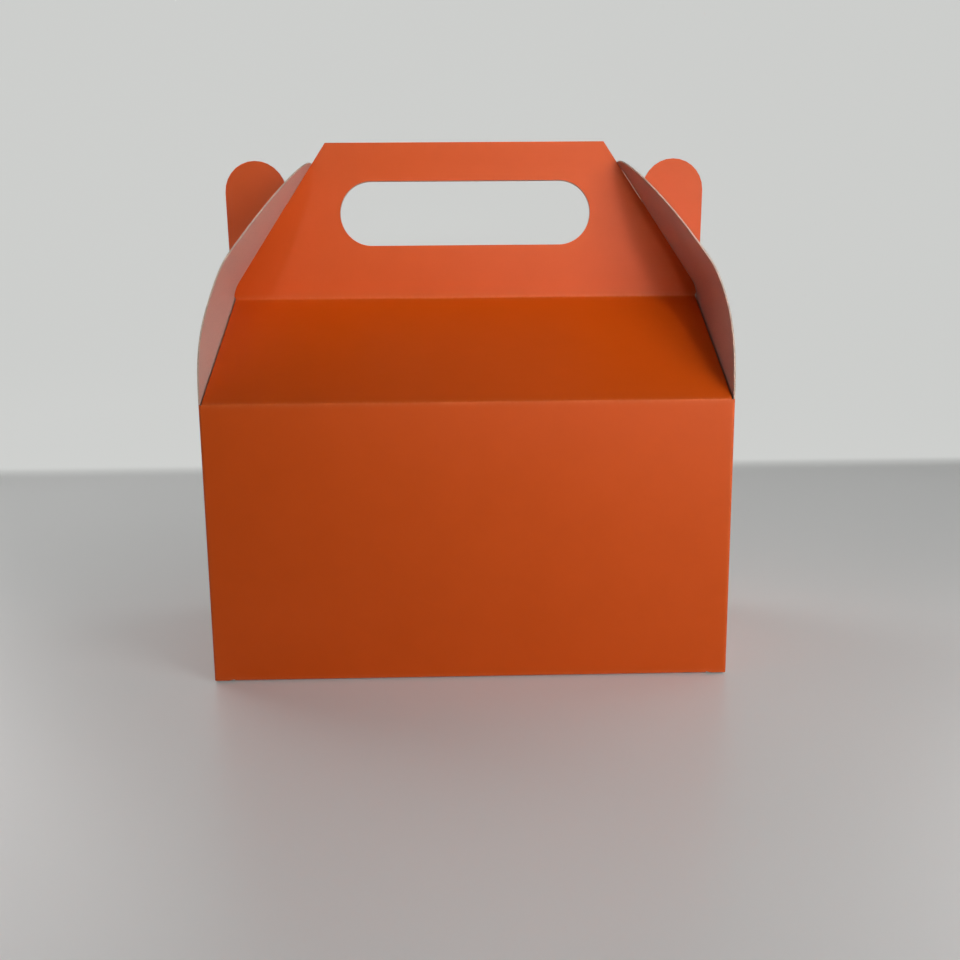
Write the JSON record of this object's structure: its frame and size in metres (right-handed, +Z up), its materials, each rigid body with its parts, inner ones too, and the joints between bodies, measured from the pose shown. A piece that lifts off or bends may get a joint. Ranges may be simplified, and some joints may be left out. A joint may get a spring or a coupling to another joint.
{
  "type": "gable box",
  "caption": "Folded board gift box with a sloping roof, an upright carry handle with a hand hole, and rounded side flaps that hook over the handle's ears.",
  "frame": {"origin": "middle of the underside, on the surface that the box stands on", "axes": "+Z up, +X along the long side, -Y out of the front wall"},
  "size_m": [0.16, 0.09, 0.1705],
  "materials": {
    "coated_board": "satin orange coating outside, bare white board inside and on the cut edges"
  },
  "bodies": {
    "carton": {"carton": "coated_board"},
    "left_wing": {"left_wing": "coated_board"},
    "right_wing": {"right_wing": "coated_board"}
  },
  "joints": [
    {"name": "left_wing_hinge", "type": "hinge", "parent": "carton", "child": "left_wing", "pos_m": [-0.08, 0, 0.0863], "axis": [0, -1, 0], "range_deg": [0, 170]},
    {"name": "right_wing_hinge", "type": "hinge", "parent": "carton", "child": "right_wing", "pos_m": [0.08, 0, 0.0863], "axis": [0, 1, 0], "range_deg": [0, 170]}
  ]
}
